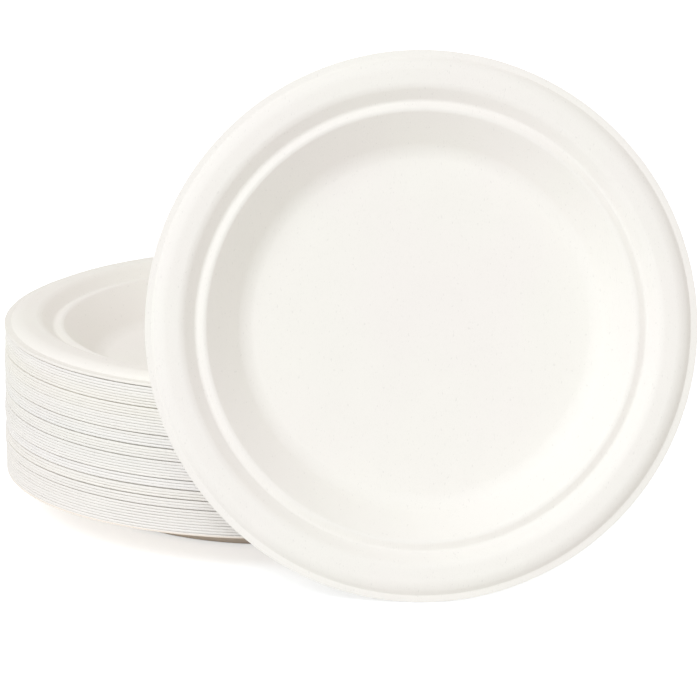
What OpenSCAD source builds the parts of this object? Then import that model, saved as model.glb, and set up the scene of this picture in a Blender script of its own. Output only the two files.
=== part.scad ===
// Stack of moulded pulp plates, with one plate of the same set leaning on it.
// Origin: centre of the stack's foot on the table. +Z is up and the leaning plate faces -Y.

/* [Plate] */
// Diameter over the lip
plate_d = 229; // [200:1:280]
// Thickness of the pulp
wall = 0.7; // [0.5:0.05:0.9]
// Thickness of the flat lip
lip_t = 1.0; // [0.8:0.05:1.3]
// Width of the flat lip
lip_w = 2.9; // [2:0.1:5]
// Width of the roll between the lip and the rim band
roll_w = 3.4; // [3:0.1:5]
// Width of the raised rim band
band_w = 9.0; // [7:0.1:14]
// Width of the slope from the rim band down to the groove
slope_w = 5.7; // [5.5:0.1:8]
// Width of the bead's outer side
bead_w = 3.9; // [3.5:0.1:6]
// Width of the wall between the bead and the floor
side_w = 16.1; // [16:0.1:20]

/* [Heights] */
// Height of the lip's upper face above the table
lip_h = 16.6; // [16.4:0.1:17]
// Height of the rim band
band_h = 19.8; // [19.5:0.1:20.2]
// Height of the groove between the rim band and the bead
groove_h = 14.6; // [14.4:0.1:15.2]
// Height of the bead before its crest is rounded
bead_h = 16.2; // [15.8:0.1:16.6]

/* [Bends] */
// Radius where the floor turns up into the wall
floor_bend = 10; // [6:0.5:14]
// Radius of the bead's crest
bead_bend = 2.0; // [1.2:0.1:2.6]
// Radius of the groove
groove_bend = 1.5; // [1:0.1:2]
// Radius at the inner edge of the rim band
band_bend = 5; // [3:0.5:7]
// Radius at the outer edge of the rim band
roll_bend = 8; // [5:0.5:9]
// Radius of the crease beside the lip
crease_bend = 0.9; // [0.5:0.1:1.4]

/* [Stack] */
// Number of plates nested in the stack
stack_count = 49; // [20:1:50]
// Upright clearance between one plate and the next
nest_gap = 0.24; // [0.24:0.02:0.4]
// Extra lift under a plate that sits looser than the rest
loose_gap = 0.38; // [0.36:0.02:0.6]
// Sideways step of each bundle between two looser plates
bundle_step = 0.2; // [0:0.05:0.22]
// Sideways wander of one plate in its bundle
plate_step = 0.1; // [0:0.02:0.12]

/* [Leaning plate] */
// Lean of the upright plate away from vertical, in degrees
lean = 16; // [12:1:25]
// Sideways distance from the stack's centre to the leaning plate's centre
lean_side = 63; // [40:1:66]
// Clearance between the leaning plate and the stack's rim
lean_gap = 0.2; // [0.1:0.05:0.5]

/* [Hidden] */
pulp = [0.96, 0.95, 0.92];
$fn = 180;
// Largest turn of one facet in a bend, in degrees
bend_facet = 9;
// Plates that sit looser, counted from the top of the stack
loose_from_top = [1, 8, 17, 21, 25, 31, 34, 37, 40];
// Turn from one bundle's sideways step to the next, in degrees
bundle_turn = 137;
// Turn from one plate's sideways wander to the next, along X and along Y
wander_turn = [47, 61];

plate_r = plate_d / 2;
crease_r = plate_r - lip_w;
band_out_r = crease_r - roll_w;
band_in_r = band_out_r - band_w;
groove_r = band_in_r - slope_w;
bead_r = groove_r - bead_w;
floor_r = bead_r - side_w;

// Corners of the upper face from the centre out: radius, height, bend radius
corners = [
    [0, wall, 0],
    [floor_r, wall, floor_bend],
    [bead_r, bead_h, bead_bend],
    [groove_r, groove_h, groove_bend],
    [band_in_r, band_h, band_bend],
    [band_out_r, band_h, roll_bend],
    [crease_r, lip_h, crease_bend],
    [plate_r, lip_h, 0]
];
last = len(corners) - 1;

function point(i) = [corners[i].x, corners[i].y];
function heading(i) = (point(i + 1) - point(i)) / norm(point(i + 1) - point(i));
// Unit vector out of the underside of the stretch after corner i
function under(i) = [heading(i).y, -heading(i).x];
function depth(i) = i == last - 1 ? lip_t : wall;

// Where the undersides of the stretches before and after corner i meet
function under_corner(i) =
    let (a = under(i - 1), b = under(i), s = depth(i - 1), t = depth(i))
    point(i) + [s * b.y - t * a.y, t * a.x - s * b.x] / (a.x * b.y - a.y * b.x);

// Points of the arc of radius r that rounds the corner b between a and c
function rounded(a, b, c, r) =
    let (
        u = (a - b) / norm(a - b),
        v = (c - b) / norm(c - b),
        half = acos(u * v) / 2,
        centre = b + (u + v) / norm(u + v) * r / sin(half),
        from = b + u * r / tan(half) - centre,
        to = b + v * r / tan(half) - centre,
        start = atan2(from.y, from.x),
        sweep = (atan2(to.y, to.x) - start + 540) % 360 - 180,
        facets = ceil(abs(sweep) / bend_facet)
    )
    [for (k = [0:facets]) centre + r * [cos(start + sweep * k / facets), sin(start + sweep * k / facets)]];

// 1 where the upper face turns up at corner i, and -1 where it turns down
function turn(i) = sign(heading(i - 1).x * heading(i).y - heading(i - 1).y * heading(i).x);

lower_points = concat(
    [point(0) - [0, wall]],
    [for (i = [1:last - 1]) under_corner(i)],
    [point(last) - [0, lip_t]]
);

upper_face = concat(
    [point(0)],
    [for (i = [1:last - 1]) each rounded(point(i - 1), point(i), point(i + 1), corners[i].z)],
    [point(last)]
);
lower_face = concat(
    [lower_points[0]],
    [for (i = [1:last - 1]) each rounded(
        lower_points[i - 1], lower_points[i], lower_points[i + 1], corners[i].z + turn(i) * wall
    )],
    [lower_points[last]]
);
section = concat(upper_face, [for (i = [len(lower_face) - 1:-1:0]) lower_face[i]]);

// Nested walls meet first where the plate is steepest, and nested lips where they are thickest
steepest = max([for (i = [0:last - 1]) abs(atan2(heading(i).y, heading(i).x))]);
nest_pitch = max(wall / cos(steepest), lip_t) + nest_gap;

function is_loose(i) = len(search(stack_count + 1 - i, loose_from_top)) > 0;
function bundle(i) = len([for (k = [2:1:i]) if (is_loose(k)) k]);
function lift(i) = (i - 1) * nest_pitch + bundle(i) * loose_gap;
function wander(i) =
    bundle_step * [cos(bundle_turn * bundle(i)), sin(bundle_turn * bundle(i))]
    + plate_step * [sin(wander_turn.x * i), sin(wander_turn.y * i)];
// The first plate stands exactly on the origin
function place(i) = [wander(i).x - wander(1).x, wander(i).y - wander(1).y, lift(i)];

// The leaning plate stands on the lower edge of its lip
lean_z = plate_r * cos(lean) - (lip_h - lip_t) * sin(lean);
// Points on the upper edges of the lips that the leaning plate could touch
touch_plates = 6;
touch_turn = 3;
touch_points = [
    for (i = [stack_count - touch_plates + 1:stack_count])
        for (a = [-60:touch_turn:60])
            place(i) + [plate_r * sin(a), -plate_r * cos(a), lip_h]
];
// Clearance under the leaning plate at stack point s, when the plate's underside centre is at depth y
function clearance(s, y) =
    let (
        up = (s.y - y) * sin(lean) + (s.z - lean_z) * cos(lean),
        behind = (s.y - y) * cos(lean) - (s.z - lean_z) * sin(lean),
        r = norm([s.x - lean_side, up])
    )
    r > plate_r ? plate_r : lookup(r, lower_face) + behind;
// Each pass moves the plate by what its least clearance still lacks
function seated(y, passes) =
    passes == 0 ? y :
    seated(y + (min([for (s = touch_points) clearance(s, y)]) - lean_gap) / cos(lean), passes - 1);
seat_passes = 10;
lean_y = seated(-2 * plate_r, seat_passes);

function plate_name(i) = str("plate_", i < 10 ? "0" : "", i);

// One moulded plate, underside of its floor at the origin
module plate() {
    color(pulp) rotate_extrude() polygon(section);
}

module stacked_plate(i) {
    translate(place(i)) plate();
}

module leaning_plate() {
    translate([lean_side, lean_y, lean_z]) rotate([90 - lean, 0, 0]) plate();
}

for (i = [1:stack_count]) stacked_plate(i);
leaning_plate();
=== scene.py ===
"""Dresses a stack of moulded pulp plates and the plate that leans on it."""

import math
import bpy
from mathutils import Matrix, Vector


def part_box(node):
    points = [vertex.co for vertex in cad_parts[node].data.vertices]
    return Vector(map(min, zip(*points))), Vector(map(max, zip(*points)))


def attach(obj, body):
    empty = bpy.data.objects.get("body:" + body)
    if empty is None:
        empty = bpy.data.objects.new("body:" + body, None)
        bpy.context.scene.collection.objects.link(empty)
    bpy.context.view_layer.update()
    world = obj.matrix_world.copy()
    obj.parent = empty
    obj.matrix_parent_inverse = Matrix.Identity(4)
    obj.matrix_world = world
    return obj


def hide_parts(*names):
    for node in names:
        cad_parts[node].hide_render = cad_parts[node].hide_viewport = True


bl_info = {
    "name": "Bagasse Plate Stack",
    "version": (1, 0, 0),
    "blender": (4, 5, 0),
    "location": "View3D > Sidebar > Bagasse",
    "description": "Moulded pulp plates nested in a stack, with one leaning on its edge",
    "category": "Object",
}

import bmesh
import bpy
from bpy.props import FloatProperty, FloatVectorProperty, PointerProperty
from mathutils import Matrix, Vector, noise

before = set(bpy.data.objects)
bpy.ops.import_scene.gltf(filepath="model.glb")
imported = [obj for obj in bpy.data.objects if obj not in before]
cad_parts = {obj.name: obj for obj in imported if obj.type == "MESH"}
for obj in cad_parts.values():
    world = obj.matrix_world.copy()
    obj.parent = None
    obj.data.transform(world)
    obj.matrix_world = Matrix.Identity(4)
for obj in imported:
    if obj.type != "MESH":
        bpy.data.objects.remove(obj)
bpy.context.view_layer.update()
MM = 0.001
NESTED = sorted(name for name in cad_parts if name.startswith("plate_"))
LEANING = "leaning_plate"

# Mesh of a plate whose faces show, and of one that shows only its rim
FINE = {"segments": 9, "floor_rings": 22, "steps": 256}
PLAIN = {"segments": 3, "floor_rings": 0, "steps": 120}
# Points nearer than this are one point
SAME_POINT = 0.001 * MM
# Two plates further apart than this are in two bundles
BUNDLE_GAP = 1.5 * MM
# The lowest plate gets painted warm bounce light, in the shade under its rim, outside this radius
PAINTED_BOUNCE_FROM = 68 * MM
LEANING_SEED = 77

# How often each wave goes round the plate, and the shift that keeps it apart from the others
WAVES = {
    "warp": (0.8, 0.5),
    "lip": (2.6, 0.3),
    "thick": (5.0, 0.7),
    "trim": (4.0, 0.9),
    "nicks": (30.0, 0.0),
}
# Distance through the noise from one seed to the next
SEED_STEP = 7.31
# Depth of the nicks beside the slower wave of the trimmed edge
NICK_DEPTH = 0.4
# Scale of the noise in the faces' relief
RELIEF_SCALE = 90
# How quickly the felt side fades into the smooth side where a face turns over
SIDE_FADE = 2

# Steps through the noise from bundle to bundle and from plate to plate, and the layer of noise
TONE_DRIFT = (1.3, 0.2, 3)
WARMTH_DRIFT = (2.1, 0.15, 8)
MIDDLE_WARMTH = 0.5

# Scale of each pattern in the pulp
CLOUD_SCALE = 45
DRIFT_SCALE = 14
GRAIN_SCALE = 1900
FELT_SCALE = 260
FELT_DISTORTION = 0.6
FELT_DETAIL = 0.5
# A Noise texture swings about this value
MIDDLE_NOISE = 0.5
# A pattern runs long along the axis that is squeezed least
FIBRE_TURNS = ((0.3, 0.2, 0.4), (1.1, 0.7, 1.9), (0.6, 1.4, 2.9), (2.1, 0.4, 0.9))
FIBRE_SQUEEZE = (2600, 2600, 190)
FLECK_TURN = (0.9, 0.3, 0)
FLECK_SQUEEZE = (1500, 700, 700)
FELT_TURNS = ((0, 0, 0), (0, 0, math.pi / 2))
# Range of the noise over which each pattern fades in
DRIFT_FADE = (0.35, 0.65)
FIBRE_FADE = (0.66, 0.74)
FLECK_FADE = (0.76, 0.82)
# Depth of a fleck's tone beside a fibre's
FLECK_DEPTH = 2.2
# Change in roughness beside the change in tone
CLOUD_ROUGHNESS = 1.5
# Share of each pattern in the height of the surface
GRAIN_HEIGHT = 0.8
FELT_HEIGHT = 0.9
CLOUD_HEIGHT = 1.2
FIBRE_HEIGHT = 0.35
# Tints that drift across one plate
PINKISH = (1.0, 0.985, 0.98, 1)
CREAMY = (1.0, 0.998, 0.98, 1)
# Tints of the coolest and the warmest plates
COOL_BATCH = (0.992, 0.985, 0.992, 1)
WARM_BATCH = (1.0, 0.985, 0.958, 1)
PULP_IOR = 1.45
PULP_SPECULAR = 0.25

WHITE = (1, 1, 1, 1)
# Colour of the table for the light that it throws back, and for the shadows seen on it
TABLE_COLOUR = (0.82, 0.812, 0.8, 1)
TABLE_SHOWN = (0.93, 0.97, 1, 1)
TABLE_GLOW = 0.55
# Where each light comes from
KEY_FROM = Vector((-0.46, -0.535, 0.708))
FILL_FROM = Vector((-0.35, -0.92, 0.17))
BACK_FROM = Vector((0.5, 0.85, 0.16))
CLIP_END = 100


def node_size(name):
    """Length along X, Y and Z of a CAD node."""
    low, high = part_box(name)
    return high - low


def node_middle(name):
    """Middle of a CAD node's box along X and Y, at the height of its lowest point."""
    low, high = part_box(name)
    return Vector(((low.x + high.x) / 2, (low.y + high.y) / 2, low.z))


def length(name, description, default):
    """A size in metres that a user may change."""
    return FloatProperty(
        name=name,
        description=description,
        default=default,
        subtype="DISTANCE",
        unit="LENGTH",
    )


def angle(name, description, degrees):
    """An angle that a user may change."""
    return FloatProperty(
        name=name,
        description=description,
        default=math.radians(degrees),
        subtype="ANGLE",
    )


def amount(name, description, default):
    """A plain number, not below 0, that a user may change."""
    return FloatProperty(name=name, description=description, default=default, min=0)


def share(name, description, default):
    """A number from 0 to 1 that a user may change."""
    return FloatProperty(
        name=name,
        description=description,
        default=default,
        min=0,
        max=1,
        subtype="FACTOR",
    )


def paint(name, description, default):
    """A colour that a user may change."""
    return FloatVectorProperty(
        name=name,
        description=description,
        default=default,
        size=3,
        subtype="COLOR",
    )


class PlateSizes(bpy.types.PropertyGroup):
    """Sizes of one plate's section, from the rim inwards."""

    diameter: length("Diameter", "Width over the lip", node_size(NESTED[0]).x)
    wall: length("Wall", "Thickness of the pulp", 0.7 * MM)
    lip_t: length("Lip thickness", "Thickness of the flat lip", 1.0 * MM)
    lip_w: length("Lip width", "Width of the flat lip", 2.9 * MM)
    roll_w: length("Roll width", "Width of the roll between lip and rim band", 3.4 * MM)
    band_w: length("Band width", "Width of the raised rim band", 9.0 * MM)
    slope_w: length("Slope width", "Width of the slope from rim band to groove", 5.7 * MM)
    bead_w: length("Bead width", "Width of the bead's outer side", 3.9 * MM)
    side_w: length("Side width", "Width of the wall between bead and floor", 16.1 * MM)
    lip_h: length("Lip height", "Height of the lip's upper face", 16.6 * MM)
    band_h: length("Band height", "Height of the rim band", node_size(NESTED[0]).z)
    groove_h: length("Groove height", "Height of the groove", 14.6 * MM)
    bead_h: length("Bead height", "Height of the bead before its crest is rounded", 16.2 * MM)
    floor_bend: length("Floor bend", "Radius where the floor turns up", 10 * MM)
    bead_bend: length("Bead bend", "Radius of the bead's crest", 2.0 * MM)
    groove_bend: length("Groove bend", "Radius of the groove", 1.5 * MM)
    band_bend: length("Band bend", "Radius at the rim band's inner edge", 5 * MM)
    roll_bend: length("Roll bend", "Radius at the rim band's outer edge", 8 * MM)
    crease_bend: length("Crease bend", "Radius of the crease beside the lip", 0.9 * MM)
    edge_bend: length("Edge bend", "Radius of the trimmed edge's two corners", 0.22 * MM)
    crisp_roll_w: length("Crisp roll width", "Width of an uncovered plate's roll", 2.8 * MM)
    crisp_roll_bend: length("Crisp roll bend", "Radius of an uncovered plate's roll", 6.8 * MM)
    crisp_crease_bend: length("Crisp crease bend", "Radius of an uncovered plate's crease", 0.7 * MM)
    lip_fall: length("Lip fall", "Fall of an uncovered plate's lip from crease to edge", 0.2 * MM)


class PulpWear(bpy.types.PropertyGroup):
    """How far a real plate strays from its mould."""

    warp: length("Warp", "Slow warp that a bundle of plates shares", 0.11 * MM)
    lip_wave: length("Lip wave", "Rise and fall of one plate's lip", 0.08 * MM)
    trim: length("Trim", "Unevenness of the trimmed edge", 0.1 * MM)
    swell: length("Swell", "How far the rough lip stands proud of each face", 0.05 * MM)
    thick: length("Thickness", "Change in the lip's thickness", 0.05 * MM)
    relief: length("Relief", "Unevenness of the faces", 0.035 * MM)


class PulpLook(bpy.types.PropertyGroup):
    """Colour and surface of the pressed pulp."""

    pulp: paint("Pulp", "Colour of the pulp", (0.925, 0.915, 0.892))
    # A warm colour painted as bounce light into the shade under the lowest plate's rim
    painted_bounce: paint("Painted bounce light", "Colour of the warm bounce light painted into the shade under the lowest plate's rim", (0.97, 0.87, 0.76))
    tone_spread: share("Tone spread", "How far plates differ in brightness", 0.04)
    warmth_spread: share("Warmth spread", "How far plates differ in warmth", 0.9)
    roughness: share("Roughness", "Roughness of the pulp", 0.82)
    mottle: share("Mottle", "Depth of the soft clouds of tone", 0.03)
    fibre: share("Fibre", "Depth of the fibres' tone", 0.03)
    grain: length("Grain", "Height of the fine grain", 0.02 * MM)


class Studio(bpy.types.PropertyGroup):
    """Table, light and camera."""

    aim: FloatVectorProperty(
        name="Aim",
        description="Point the camera looks at",
        default=(0.0335, -0.0388, 0.0766),
        subtype="XYZ",
    )
    elevation: angle("Elevation", "How far the camera looks down", 15.5)
    distance: length("Distance", "From the camera to its aim", 3.5)
    lens: amount("Lens", "Focal length in millimetres", 423.4)
    table: length("Table", "Width of the table", 6.0)
    lamp_colour: paint("Lamp colour", "Colour of the key, fill and back lights", (0.88, 0.945, 1))
    key: amount("Key", "Strength of the soft key light", 1.35)
    key_size: angle("Key size", "Width of the key light", 35)
    fill: amount("Fill", "Strength of the low light from the front", 0.36)
    fill_size: angle("Fill size", "Width of the fill light", 20)
    back: amount("Back", "Strength of the low light from behind", 0.64)
    back_size: angle("Back size", "Width of the back light", 30)
    sky_colour: paint("Sky colour", "Colour of the light from all around", (1, 0.955, 0.905))
    sky: amount("Sky", "Strength of the light from all around", 0.583)


def corners(sizes, crisp):
    """Place and bend of each corner of the upper face, from the centre out.

    A crisp plate is an uncovered one, and has a tighter roll than a plate that others nest on.
    """
    edge = sizes.diameter / 2
    crease = edge - sizes.lip_w
    band_in = crease - sizes.roll_w - sizes.band_w
    groove = band_in - sizes.slope_w
    bead = groove - sizes.bead_w
    floor = bead - sizes.side_w
    inner = [
        (Vector((0, sizes.wall)), 0),
        (Vector((floor, sizes.wall)), sizes.floor_bend),
        (Vector((bead, sizes.bead_h)), sizes.bead_bend),
        (Vector((groove, sizes.groove_h)), sizes.groove_bend),
        (Vector((band_in, sizes.band_h)), sizes.band_bend),
    ]
    if crisp:
        return inner + [
            (Vector((crease - sizes.crisp_roll_w, sizes.band_h)), sizes.crisp_roll_bend),
            (Vector((crease, sizes.lip_h + sizes.lip_fall)), sizes.crisp_crease_bend),
            (Vector((edge, sizes.lip_h)), sizes.edge_bend),
        ]
    return inner + [
        (Vector((crease - sizes.roll_w, sizes.band_h)), sizes.roll_bend),
        (Vector((crease, sizes.lip_h)), sizes.crease_bend),
        (Vector((edge, sizes.lip_h)), sizes.edge_bend),
    ]


def underside(upper, sizes):
    """The same corners on the lower face, a wall's thickness under the upper one."""
    points = [point for point, bend in upper]
    last = len(points) - 1
    lower = [(points[0] - Vector((0, sizes.wall)), 0)]
    for i in range(1, last):
        before = (points[i] - points[i - 1]).normalized()
        after = (points[i + 1] - points[i]).normalized()
        down_before = Vector((before.y, -before.x))
        down_after = Vector((after.y, -after.x))
        t_before = sizes.wall
        t_after = sizes.lip_t if i == last - 1 else sizes.wall
        cross = down_before.x * down_after.y - down_before.y * down_after.x
        shift = Vector((
            t_before * down_after.y - t_after * down_before.y,
            t_after * down_before.x - t_before * down_after.x,
        )) / cross
        turn = math.copysign(1, before.x * after.y - before.y * after.x)
        lower.append((points[i] + shift, upper[i][1] + turn * sizes.wall))
    lower.append((points[last] - Vector((0, sizes.lip_t)), sizes.edge_bend))
    return lower


def round_corner(bm, vert, before, after, radius, segments):
    """Rounds one corner of a wire to a radius."""
    half = (before - vert.co).angle(after - vert.co) / 2
    bmesh.ops.bevel(
        bm,
        geom=[vert],
        offset=radius / math.tan(half),
        offset_type="OFFSET",
        segments=segments,
        profile=0.5,
        affect="VERTICES",
        clamp_overlap=False,
        material=-1,
    )


def section(sizes, segments, floor_rings, crisp):
    """A wire bmesh of half the plate's section, from the axis out over the lip and back."""
    upper = corners(sizes, crisp)
    # A crisp plate keeps the plain underside, which nests on the plate below
    lower = underside(corners(sizes, crisp=False), sizes)
    outline = upper + lower[::-1]
    points = [Vector((point.x, 0, point.y)) for point, bend in outline]
    bm = bmesh.new()
    verts = [bm.verts.new(point) for point in points]
    for near, far in zip(verts, verts[1:]):
        bm.edges.new((near, far))
    for i in range(1, len(verts) - 1):
        round_corner(bm, verts[i], points[i - 1], points[i + 1], outline[i][1], segments)
    floor_edges = [e for e in bm.edges if min(v.co.x for v in e.verts) < SAME_POINT]
    bmesh.ops.subdivide_edges(bm, edges=floor_edges, cuts=floor_rings)
    return bm


def spun_plate(sizes, segments, floor_rings, steps, crisp=False):
    """One plate as a closed bmesh, with the underside of its floor at the origin."""
    bm = section(sizes, segments, floor_rings, crisp)
    bmesh.ops.spin(
        bm,
        geom=bm.verts[:] + bm.edges[:],
        cent=(0, 0, 0),
        axis=(0, 0, 1),
        dvec=(0, 0, 0),
        angle=math.tau,
        steps=steps,
        use_merge=True,
        use_duplicate=False,
    )
    bmesh.ops.remove_doubles(bm, verts=bm.verts, dist=SAME_POINT)
    bmesh.ops.recalc_face_normals(bm, faces=bm.faces)
    for face in bm.faces:
        face.smooth = True
    return bm


def mark_sides(bm):
    """Stores 1 on the felt side under the plate and 0 on its smooth upper side."""
    layer = bm.verts.layers.float.new("underside")
    bm.normal_update()
    for vert in bm.verts:
        vert[layer] = min(1, max(0, 0.5 - vert.normal.z * SIDE_FADE))


def wave(turn, kind, seed):
    """A smooth closed wave from -1 to 1 around the plate."""
    frequency, shift = WAVES[kind]
    layer = (seed + shift) * SEED_STEP
    return noise.noise(Vector((math.cos(turn) * frequency, math.sin(turn) * frequency, layer)))


def age(bm, sizes, wear, seed, bundle):
    """Warps the plate, ripples its lip and makes its faces and trimmed edge uneven."""
    edge = sizes.diameter / 2
    crease = edge - sizes.lip_w
    sides = bm.verts.layers.float["underside"]
    for vert in bm.verts:
        r = math.hypot(vert.co.x, vert.co.y)
        turn = math.atan2(vert.co.y, vert.co.x)
        rim = (r / edge) ** 2
        lip = min(1, max(0, (r - crease + sizes.roll_w) / sizes.roll_w))
        z = wear.warp * rim * wave(turn, "warp", bundle)
        z += wear.lip_wave * lip * wave(turn, "lip", seed)
        z += wear.relief * noise.noise(vert.co * RELIEF_SCALE + Vector((seed, seed, 0)))
        z += lip * (1 - 2 * vert[sides]) * (wear.swell + wear.thick * wave(turn, "thick", seed))
        nicks = wave(turn, "trim", seed) + wave(turn, "nicks", seed) * NICK_DEPTH
        reach = wear.trim * max(0, (r - crease) / sizes.lip_w) * nicks
        vert.co.z += z
        vert.co.x += reach * math.cos(turn)
        vert.co.y += reach * math.sin(turn)


def drift(steps, bundle, number):
    """A value from -1 to 1 that changes between bundles, and less from plate to plate."""
    per_bundle, per_plate, layer = steps
    return noise.noise(Vector((bundle * per_bundle, number * per_plate, layer)))


def colour_plate(bm, tone, warmth, painted_bounce):
    """Stores the plate's own tone and warmth, and 1 on the lowest plate's outer wall underneath,
    where warm bounce light is painted into the shade under the rim.
    """
    tones = bm.verts.layers.float.new("tone")
    warmths = bm.verts.layers.float.new("warmth")
    painted_bounces = bm.verts.layers.float.new("painted_bounce_mask")
    sides = bm.verts.layers.float["underside"]
    for vert in bm.verts:
        r = math.hypot(vert.co.x, vert.co.y)
        vert[tones] = tone
        vert[warmths] = warmth
        # Painted warm bounce light: the downward faces of the lowest plate outside the radius, in
        # the shade under its rim
        vert[painted_bounces] = vert[sides] if painted_bounce and r > PAINTED_BOUNCE_FROM else 0


def finish_piece(bm, name, node, material):
    """Turns a placed bmesh into a piece that stands for a CAD node."""
    mesh = bpy.data.meshes.new(name)
    bm.to_mesh(mesh)
    bm.free()
    mesh.materials.append(material)
    piece = bpy.data.objects.new(name, mesh)
    bpy.context.scene.collection.objects.link(piece)
    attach(piece, "root")
    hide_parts(node)


def link(tree, source, target):
    """Joins two sockets."""
    tree.links.new(source, target)


def math_node(tree, operation, first, second):
    """A Math node on two sockets or numbers, and its output."""
    node = tree.nodes.new("ShaderNodeMath")
    node.operation = operation
    for socket, value in zip(node.inputs, (first, second)):
        if isinstance(value, (int, float)):
            socket.default_value = value
        else:
            link(tree, value, socket)
    return node.outputs[0]


def noise_node(tree, vector, scale, detail, rough=0.5, distortion=0.0):
    """A Noise texture's value."""
    node = tree.nodes.new("ShaderNodeTexNoise")
    node.inputs["Scale"].default_value = scale
    node.inputs["Detail"].default_value = detail
    node.inputs["Roughness"].default_value = rough
    node.inputs["Distortion"].default_value = distortion
    link(tree, vector, node.inputs["Vector"])
    return node.outputs["Fac"]


def squeezed(tree, vector, turn, squeeze):
    """The coordinates turned, and squeezed so that a pattern runs long in one direction."""
    node = tree.nodes.new("ShaderNodeMapping")
    node.inputs["Rotation"].default_value = turn
    node.inputs["Scale"].default_value = squeeze
    link(tree, vector, node.inputs["Vector"])
    return node.outputs["Vector"]


def fade(tree, value, low, high):
    """0 below low, 1 above high, and smooth between."""
    node = tree.nodes.new("ShaderNodeMapRange")
    node.interpolation_type = "SMOOTHSTEP"
    node.inputs["From Min"].default_value = low
    node.inputs["From Max"].default_value = high
    link(tree, value, node.inputs["Value"])
    return node.outputs["Result"]


def mix_colour(tree, factor, first, second, blend="MIX"):
    """A colour Mix node, and its output."""
    node = tree.nodes.new("ShaderNodeMix")
    node.data_type = "RGBA"
    node.blend_type = blend
    # The node has sockets of the same name for each kind of data, so they are picked by number
    for number, value in ((0, factor), (6, first), (7, second)):
        socket = node.inputs[number]
        if isinstance(value, (int, float, tuple)):
            socket.default_value = value
        else:
            link(tree, value, socket)
    return node.outputs[2]


def fibres(tree, place):
    """1 on thin plant fibres that lie in several directions."""
    threads = None
    for turn in FIBRE_TURNS:
        lanes = squeezed(tree, place, turn, FIBRE_SQUEEZE)
        line = fade(tree, noise_node(tree, lanes, scale=1, detail=1, distortion=0.4), *FIBRE_FADE)
        threads = line if threads is None else math_node(tree, "MAXIMUM", threads, line)
    return threads


def felt_mesh(tree, place):
    """Print of the mould's wire mesh, as two crossed sets of bands."""
    mesh = None
    for turn in FELT_TURNS:
        node = tree.nodes.new("ShaderNodeTexWave")
        node.inputs["Scale"].default_value = FELT_SCALE
        node.inputs["Distortion"].default_value = FELT_DISTORTION
        node.inputs["Detail Scale"].default_value = FELT_DETAIL
        link(tree, squeezed(tree, place, turn, (1, 1, 1)), node.inputs["Vector"])
        bands = node.outputs["Fac"]
        mesh = bands if mesh is None else math_node(tree, "MULTIPLY", mesh, bands)
    return mesh


def add_sockets(group):
    """Gives the pulp's node group its inputs and outputs."""
    # Of these, the second colour and the last number carry the painted warm bounce light: its colour
    # and where it is painted
    for name, kind, default in (
        ("Pulp", "NodeSocketColor", WHITE),
        ("Painted bounce colour", "NodeSocketColor", WHITE),
        ("Mottle", "NodeSocketFloat", 0.03),
        ("Fibre", "NodeSocketFloat", 0.03),
        ("Roughness", "NodeSocketFloat", 0.8),
        ("Underside", "NodeSocketFloat", 0.0),
        ("Tone", "NodeSocketFloat", 0.0),
        ("Warmth", "NodeSocketFloat", MIDDLE_WARMTH),
        ("Painted_bounce_mask", "NodeSocketFloat", 0.0),
    ):
        socket = group.interface.new_socket(name=name, in_out="INPUT", socket_type=kind)
        socket.default_value = default
    for name, kind in (
        ("Colour", "NodeSocketColor"),
        ("Roughness", "NodeSocketFloat"),
        ("Height", "NodeSocketFloat"),
    ):
        group.interface.new_socket(name=name, in_out="OUTPUT", socket_type=kind)


def pulp_light(tree, given, cloud_tone, threads, flecks):
    """Brightness of the pulp beside its plain colour, as a grey."""
    thread_tone = math_node(tree, "MULTIPLY", threads, given["Fibre"])
    fleck_depth = math_node(tree, "MULTIPLY", given["Fibre"], FLECK_DEPTH)
    fleck_tone = math_node(tree, "MULTIPLY", flecks, fleck_depth)
    light = math_node(tree, "ADD", 1.0, cloud_tone)
    light = math_node(tree, "ADD", light, given["Tone"])
    light = math_node(tree, "SUBTRACT", light, fleck_tone)
    light = math_node(tree, "SUBTRACT", light, thread_tone)
    grey = tree.nodes.new("ShaderNodeCombineColor")
    for channel in ("Red", "Green", "Blue"):
        link(tree, light, grey.inputs[channel])
    return grey.outputs["Color"]


def pulp_colour(tree, given, drifts, light):
    """Colour of the pulp: plain or with painted warm bounce light, tinted, warmed or cooled, and
    lightened or darkened.
    """
    tint = mix_colour(tree, fade(tree, drifts, *DRIFT_FADE), PINKISH, CREAMY)
    batch = mix_colour(tree, given["Warmth"], COOL_BATCH, WARM_BATCH)
    # Where the mask is 1, warm bounce light is painted into the shade under the lowest plate's rim
    # in place of the plain pulp
    colour = mix_colour(tree, given["Painted_bounce_mask"], given["Pulp"], given["Painted bounce colour"])
    for layer in (tint, batch, light):
        colour = mix_colour(tree, 1.0, colour, layer, "MULTIPLY")
    return colour


def pulp_height(tree, felt, clouds, grain, threads):
    """Height of the surface, from the felt side's print and the patterns on both sides."""
    height = felt
    for pattern, part in ((grain, GRAIN_HEIGHT), (clouds, CLOUD_HEIGHT), (threads, FIBRE_HEIGHT)):
        height = math_node(tree, "ADD", height, math_node(tree, "MULTIPLY", pattern, part))
    return height


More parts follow.
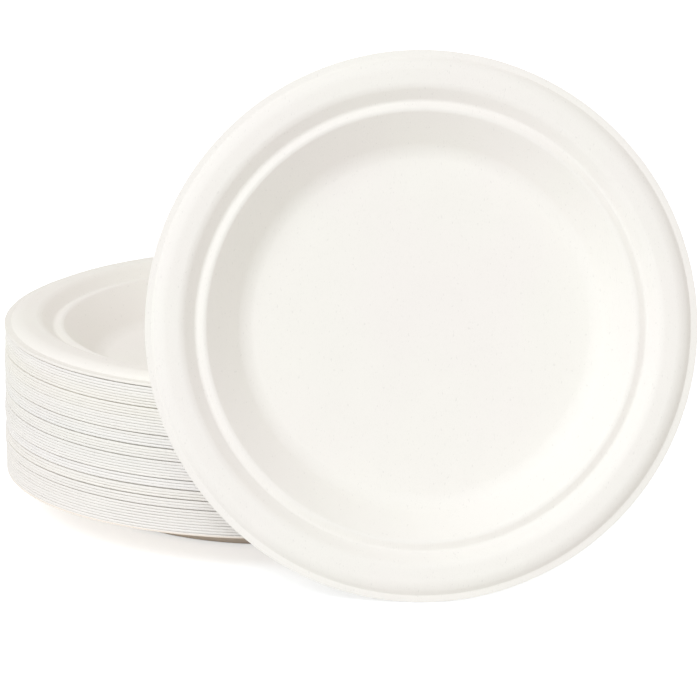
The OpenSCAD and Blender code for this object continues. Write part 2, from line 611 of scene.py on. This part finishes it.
def pulp_group():
    """Node group of pressed fibre: clouds of tone, fibres, flecks, grain and a felt side."""
    group = bpy.data.node_groups.new("pressed_pulp", "ShaderNodeTree")
    add_sockets(group)
    given = group.nodes.new("NodeGroupInput").outputs
    made = group.nodes.new("NodeGroupOutput").inputs
    place = group.nodes.new("ShaderNodeTexCoord").outputs["Object"]

    clouds = noise_node(group, place, CLOUD_SCALE, detail=5, rough=0.6)
    drifts = noise_node(group, place, DRIFT_SCALE, detail=2)
    grain = noise_node(group, place, GRAIN_SCALE, detail=3, rough=0.6)
    threads = fibres(group, place)
    scatter = squeezed(group, place, FLECK_TURN, FLECK_SQUEEZE)
    flecks = fade(group, noise_node(group, scatter, scale=1, detail=0), *FLECK_FADE)

    cloud_swing = math_node(group, "SUBTRACT", clouds, MIDDLE_NOISE)
    cloud_tone = math_node(group, "MULTIPLY", cloud_swing, given["Mottle"])
    light = pulp_light(group, given, cloud_tone, threads, flecks)
    link(group, pulp_colour(group, given, drifts, light), made["Colour"])

    rougher = math_node(group, "MULTIPLY", cloud_tone, CLOUD_ROUGHNESS)
    link(group, math_node(group, "ADD", given["Roughness"], rougher), made["Roughness"])

    felt_depth = math_node(group, "MULTIPLY", given["Underside"], FELT_HEIGHT)
    felt = math_node(group, "MULTIPLY", felt_mesh(group, place), felt_depth)
    link(group, pulp_height(group, felt, clouds, grain, threads), made["Height"])
    return group


def pulp_material(look):
    """Matt pressed pulp."""
    material = bpy.data.materials.new("bagasse_pulp")
    material.use_nodes = True
    tree = material.node_tree
    shader = tree.nodes["Principled BSDF"]
    shader.inputs["IOR"].default_value = PULP_IOR
    shader.inputs["Specular IOR Level"].default_value = PULP_SPECULAR
    pulp = tree.nodes.new("ShaderNodeGroup")
    pulp.node_tree = pulp_group()
    pulp.inputs["Pulp"].default_value = (*look.pulp, 1)
    # The second colour is painted warm bounce light for the shade under the lowest plate's rim
    pulp.inputs["Painted bounce colour"].default_value = (*look.painted_bounce, 1)
    pulp.inputs["Mottle"].default_value = look.mottle
    pulp.inputs["Fibre"].default_value = look.fibre
    pulp.inputs["Roughness"].default_value = look.roughness
    for name in ("Underside", "Tone", "Warmth", "Painted_bounce_mask"):
        stored = tree.nodes.new("ShaderNodeAttribute")
        stored.attribute_name = name.lower()
        link(tree, stored.outputs["Fac"], pulp.inputs[name])
    bump = tree.nodes.new("ShaderNodeBump")
    bump.inputs["Distance"].default_value = look.grain
    link(tree, pulp.outputs["Height"], bump.inputs["Height"])
    link(tree, pulp.outputs["Colour"], shader.inputs["Base Color"])
    link(tree, pulp.outputs["Roughness"], shader.inputs["Roughness"])
    link(tree, bump.outputs["Normal"], shader.inputs["Normal"])
    return material


def shared_pulp(context):
    """The pulp material, made once."""
    return bpy.data.materials.get("bagasse_pulp") or pulp_material(context.scene.pulp_look)


class BAGASSE_OT_nested_plates(bpy.types.Operator):
    """Make the nested plates of the stack"""

    bl_idname = "bagasse.nested_plates"
    bl_label = "Nested Plates"

    def execute(self, context):
        sizes = context.scene.plate_sizes
        wear = context.scene.pulp_wear
        look = context.scene.pulp_look
        material = shared_pulp(context)
        bundle = 0
        below = 0
        for number, node in enumerate(NESTED, 1):
            lowest = node == NESTED[0]
            top = node == NESTED[-1]
            bm = spun_plate(sizes, **(FINE if lowest or top else PLAIN), crisp=top)
            middle = node_middle(node)
            if middle.z - below > BUNDLE_GAP:
                bundle += 1
            below = middle.z
            mark_sides(bm)
            age(bm, sizes, wear, number, bundle)
            tone = look.tone_spread * drift(TONE_DRIFT, bundle, number)
            warmth = MIDDLE_WARMTH + look.warmth_spread * drift(WARMTH_DRIFT, bundle, number)
            # Only the lowest plate gets painted warm bounce light under its rim
            colour_plate(bm, tone, warmth, painted_bounce=lowest)
            bmesh.ops.translate(bm, verts=bm.verts, vec=middle)
            finish_piece(bm, "pulp_" + node, node, material)
        return {"FINISHED"}


class BAGASSE_OT_leaning_plate(bpy.types.Operator):
    """Make the plate that leans on the stack"""

    bl_idname = "bagasse.leaning_plate"
    bl_label = "Leaning Plate"

    def execute(self, context):
        sizes = context.scene.plate_sizes
        bm = spun_plate(sizes, **FINE, crisp=True)
        mark_sides(bm)
        age(bm, sizes, context.scene.pulp_wear, LEANING_SEED, LEANING_SEED)
        # The leaning plate gets no painted bounce light
        colour_plate(bm, 0, MIDDLE_WARMTH, painted_bounce=False)
        bmesh.ops.transform(bm, matrix=leaning_place(sizes), verts=bm.verts)
        finish_piece(bm, "pulp_" + LEANING, LEANING, shared_pulp(context))
        return {"FINISHED"}


def leaning_place(sizes):
    """Where the leaning plate's underside centre is, and how it is turned, from its CAD node."""
    low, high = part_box(LEANING)
    across = math.hypot(sizes.diameter, sizes.lip_t)
    lean = math.atan2(sizes.lip_t, sizes.diameter) + math.acos((high.z - low.z) / across)
    turn = Matrix.Rotation(math.pi / 2 - lean, 4, "X")
    flat = [turn.inverted() @ vert.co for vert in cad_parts[LEANING].data.vertices]
    x = (min(point.x for point in flat) + max(point.x for point in flat)) / 2
    y = (min(point.y for point in flat) + max(point.y for point in flat)) / 2
    z = min(point.z for point in flat)
    return turn @ Matrix.Translation((x, y, z))


def seen_directly(tree):
    """1 for a ray from the camera, a mirror or a glass, and 0 for one that only lights."""
    ray = tree.nodes.new("ShaderNodeLightPath").outputs
    clear = math_node(tree, "MAXIMUM", ray["Is Glossy Ray"], ray["Is Transmission Ray"])
    return math_node(tree, "MAXIMUM", ray["Is Camera Ray"], clear)


def table_material():
    """White table that shows as plain white but keeps the shadows."""
    material = bpy.data.materials.new("white_table")
    material.use_nodes = True
    tree = material.node_tree
    tree.nodes.clear()
    out = tree.nodes.new("ShaderNodeOutputMaterial")
    bounced = tree.nodes.new("ShaderNodeBsdfDiffuse")
    bounced.inputs["Color"].default_value = TABLE_COLOUR
    shown = tree.nodes.new("ShaderNodeBsdfDiffuse")
    shown.inputs["Color"].default_value = TABLE_SHOWN
    glow = tree.nodes.new("ShaderNodeEmission")
    glow.inputs["Strength"].default_value = TABLE_GLOW
    both = tree.nodes.new("ShaderNodeAddShader")
    pick = tree.nodes.new("ShaderNodeMixShader")
    link(tree, shown.outputs[0], both.inputs[0])
    link(tree, glow.outputs[0], both.inputs[1])
    link(tree, seen_directly(tree), pick.inputs[0])
    link(tree, bounced.outputs[0], pick.inputs[1])
    link(tree, both.outputs[0], pick.inputs[2])
    link(tree, pick.outputs[0], out.inputs["Surface"])
    return material


def white_world(studio):
    """Soft light from all around, in front of plain white."""
    world = bpy.data.worlds.new("soft_studio")
    bpy.context.scene.world = world
    world.use_nodes = True
    tree = world.node_tree
    tree.nodes.clear()
    out = tree.nodes.new("ShaderNodeOutputWorld")
    light = tree.nodes.new("ShaderNodeBackground")
    light.inputs["Color"].default_value = (*studio.sky_colour, 1)
    light.inputs["Strength"].default_value = studio.sky
    shown = tree.nodes.new("ShaderNodeBackground")
    shown.inputs["Color"].default_value = WHITE
    pick = tree.nodes.new("ShaderNodeMixShader")
    link(tree, seen_directly(tree), pick.inputs[0])
    link(tree, light.outputs[0], pick.inputs[1])
    link(tree, shown.outputs[0], pick.inputs[2])
    link(tree, pick.outputs[0], out.inputs["Surface"])


def aimed(offset):
    """The turn that points a camera or lamp back along its offset."""
    return (-offset).to_track_quat("-Z", "Y").to_euler()


def soft_light(scene, name, strength, size, come_from):
    """A wide far light."""
    light = bpy.data.objects.new(name, bpy.data.lights.new(name, "SUN"))
    light.data.energy = strength
    light.data.color = scene.studio.lamp_colour
    light.data.angle = size
    light.rotation_euler = aimed(come_from)
    scene.collection.objects.link(light)


class BAGASSE_OT_stage(bpy.types.Operator):
    """Make the table, the light and the camera"""

    bl_idname = "bagasse.stage"
    bl_label = "Stage"

    def execute(self, context):
        scene = context.scene
        studio = scene.studio
        bm = bmesh.new()
        bmesh.ops.create_grid(bm, x_segments=1, y_segments=1, size=studio.table / 2)
        mesh = bpy.data.meshes.new("table")
        bm.to_mesh(mesh)
        bm.free()
        mesh.materials.append(table_material())
        table = bpy.data.objects.new("table", mesh)
        scene.collection.objects.link(table)

        white_world(studio)
        soft_light(scene, "key_light", studio.key, studio.key_size, KEY_FROM)
        soft_light(scene, "fill_light", studio.fill, studio.fill_size, FILL_FROM)
        soft_light(scene, "back_light", studio.back, studio.back_size, BACK_FROM)

        lens = bpy.data.cameras.new("camera")
        lens.lens = studio.lens
        lens.clip_end = CLIP_END
        camera = bpy.data.objects.new("camera", lens)
        away = Vector((0, -math.cos(studio.elevation), math.sin(studio.elevation)))
        camera.location = Vector(studio.aim) + away * studio.distance
        camera.rotation_euler = aimed(away)
        scene.collection.objects.link(camera)
        scene.camera = camera
        scene.view_settings.view_transform = "Standard"
        return {"FINISHED"}


class BAGASSE_PT_panel(bpy.types.Panel):
    """Lists the steps that dress the stack"""

    bl_label = "Bagasse Plates"
    bl_idname = "BAGASSE_PT_panel"
    bl_space_type = "VIEW_3D"
    bl_region_type = "UI"
    bl_category = "Bagasse"

    def draw(self, context):
        for operator in OPERATORS:
            self.layout.operator(operator.bl_idname)


GROUPS = {"plate_sizes": PlateSizes, "pulp_wear": PulpWear, "pulp_look": PulpLook, "studio": Studio}
OPERATORS = (BAGASSE_OT_nested_plates, BAGASSE_OT_leaning_plate, BAGASSE_OT_stage)


def register():
    for name, group in GROUPS.items():
        bpy.utils.register_class(group)
        setattr(bpy.types.Scene, name, PointerProperty(type=group))
    for cls in OPERATORS + (BAGASSE_PT_panel,):
        bpy.utils.register_class(cls)


def unregister():
    for cls in (BAGASSE_PT_panel,) + OPERATORS[::-1]:
        bpy.utils.unregister_class(cls)
    for name, group in GROUPS.items():
        delattr(bpy.types.Scene, name)
        bpy.utils.unregister_class(group)


def main():
    """Makes everything in order."""
    register()
    bpy.ops.bagasse.nested_plates()
    bpy.ops.bagasse.leaning_plate()
    bpy.ops.bagasse.stage()


if __name__ == "__main__":
    main()
